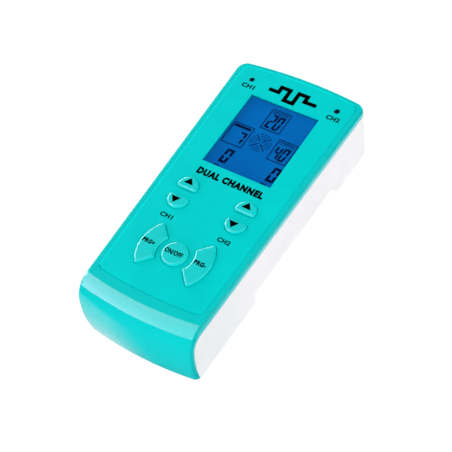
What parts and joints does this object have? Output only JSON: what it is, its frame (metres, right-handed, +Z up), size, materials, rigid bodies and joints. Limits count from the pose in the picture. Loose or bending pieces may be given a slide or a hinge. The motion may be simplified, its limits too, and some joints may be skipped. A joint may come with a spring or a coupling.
{
  "type": "nerve stimulator unit",
  "caption": "Hand-held nerve stimulator with a backlit display, raised keys, output sockets at the display end, a battery bay and a belt clip.",
  "frame": {"origin": "centre of the base, on the surface that the unit lies on", "axes": "+X towards the channel 2 side, +Y towards the display end and its output sockets, +Z up out of the face"},
  "size_m": [0.0652, 0.1432, 0.0307],
  "materials": {
    "teal_gloss": "smooth glossy moulded shell and key caps",
    "panel_gloss": "glossy printed inlay panel",
    "case_white": "fine satin moulded case",
    "clear_window": "clear acrylic window",
    "display_glass": "blue backlit display glass",
    "light_guide": "milky light guide",
    "inner_plastic": "plain moulded inner frame",
    "silicone": "soft translucent silicone",
    "black_plastic": "black moulded component",
    "lens_dark": "dark tinted light pipe",
    "board": "solder-masked circuit board",
    "copper": "enamelled winding wire",
    "contact_gold": "plated contact pads",
    "ferrite": "matt sintered ferrite",
    "screw_steel": "zinc-plated steel",
    "spring_steel": "nickel-plated spring steel",
    "cell_jacket": "printed cell jacket",
    "capacitor_can": "aluminium can",
    "foam": "closed-cell foam"
  },
  "bodies": {
    "case": {"front_shell": "teal_gloss", "rear_case": "case_white", "face_panel": "panel_gloss", "display_window": "clear_window", "lcd_glass": "display_glass", "lcd_frame": "inner_plastic", "lcd_backlight": "light_guide", "lcd_connector_strips": "black_plastic", "keypad_mat": "silicone", "key_contacts": "contact_gold", "ch1_indicator_lens": "lens_dark", "ch2_indicator_lens": "lens_dark", "indicator_leds": "inner_plastic", "ch1_output_socket": "black_plastic", "ch2_output_socket": "black_plastic", "ch1_transformer_core": "ferrite", "ch2_transformer_core": "ferrite", "transformer_windings": "copper", "main_board": "board", "boost_inductor": "ferrite", "controller_chip": "black_plastic", "output_transistors": "black_plastic", "storage_capacitors": "capacitor_can", "buzzer": "black_plastic", "clock_crystal": "spring_steel", "board_screws": "screw_steel", "case_screws": "screw_steel", "battery_cells": "cell_jacket", "battery_springs": "spring_steel", "battery_contact_plates": "spring_steel"},
    "key_ch1_up": {"key_ch1_up": "teal_gloss"},
    "key_ch1_down": {"key_ch1_down": "teal_gloss"},
    "key_ch2_up": {"key_ch2_up": "teal_gloss"},
    "key_ch2_down": {"key_ch2_down": "teal_gloss"},
    "key_program_up": {"key_program_up": "teal_gloss"},
    "key_program_down": {"key_program_down": "teal_gloss"},
    "key_power": {"key_power": "teal_gloss"},
    "battery_cover": {"battery_cover": "case_white", "cover_foam_pad": "foam"},
    "belt_clip": {"belt_clip": "case_white"}
  },
  "joints": [
    {"name": "key_ch1_up_press", "type": "slide", "parent": "case", "child": "key_ch1_up", "axis": [0, 0, -1], "range_m": [0, 0.0006], "stiffness_N_per_m": 500, "deforming": ["keypad_mat"]},
    {"name": "key_ch1_down_press", "type": "slide", "parent": "case", "child": "key_ch1_down", "axis": [0, 0, -1], "range_m": [0, 0.0006], "stiffness_N_per_m": 500, "deforming": ["keypad_mat"]},
    {"name": "key_ch2_up_press", "type": "slide", "parent": "case", "child": "key_ch2_up", "axis": [0, 0, -1], "range_m": [0, 0.0006], "stiffness_N_per_m": 500, "deforming": ["keypad_mat"]},
    {"name": "key_ch2_down_press", "type": "slide", "parent": "case", "child": "key_ch2_down", "axis": [0, 0, -1], "range_m": [0, 0.0006], "stiffness_N_per_m": 500, "deforming": ["keypad_mat"]},
    {"name": "key_program_up_press", "type": "slide", "parent": "case", "child": "key_program_up", "axis": [0, 0, -1], "range_m": [0, 0.0006], "stiffness_N_per_m": 500, "deforming": ["keypad_mat"]},
    {"name": "key_program_down_press", "type": "slide", "parent": "case", "child": "key_program_down", "axis": [0, 0, -1], "range_m": [0, 0.0006], "stiffness_N_per_m": 500, "deforming": ["keypad_mat"]},
    {"name": "key_power_press", "type": "slide", "parent": "case", "child": "key_power", "axis": [0, 0, -1], "range_m": [0, 0.0006], "stiffness_N_per_m": 500, "deforming": ["keypad_mat"]},
    {"name": "battery_cover_hinge", "type": "hinge", "parent": "case", "child": "battery_cover", "pos_m": [0, -0.0598, 0.0013], "axis": [-1, 0, 0], "range_deg": [0, 80]},
    {"name": "belt_clip_slide", "type": "slide", "parent": "case", "child": "belt_clip", "axis": [1, 0, 0], "range_m": [0, 0.046]}
  ]
}
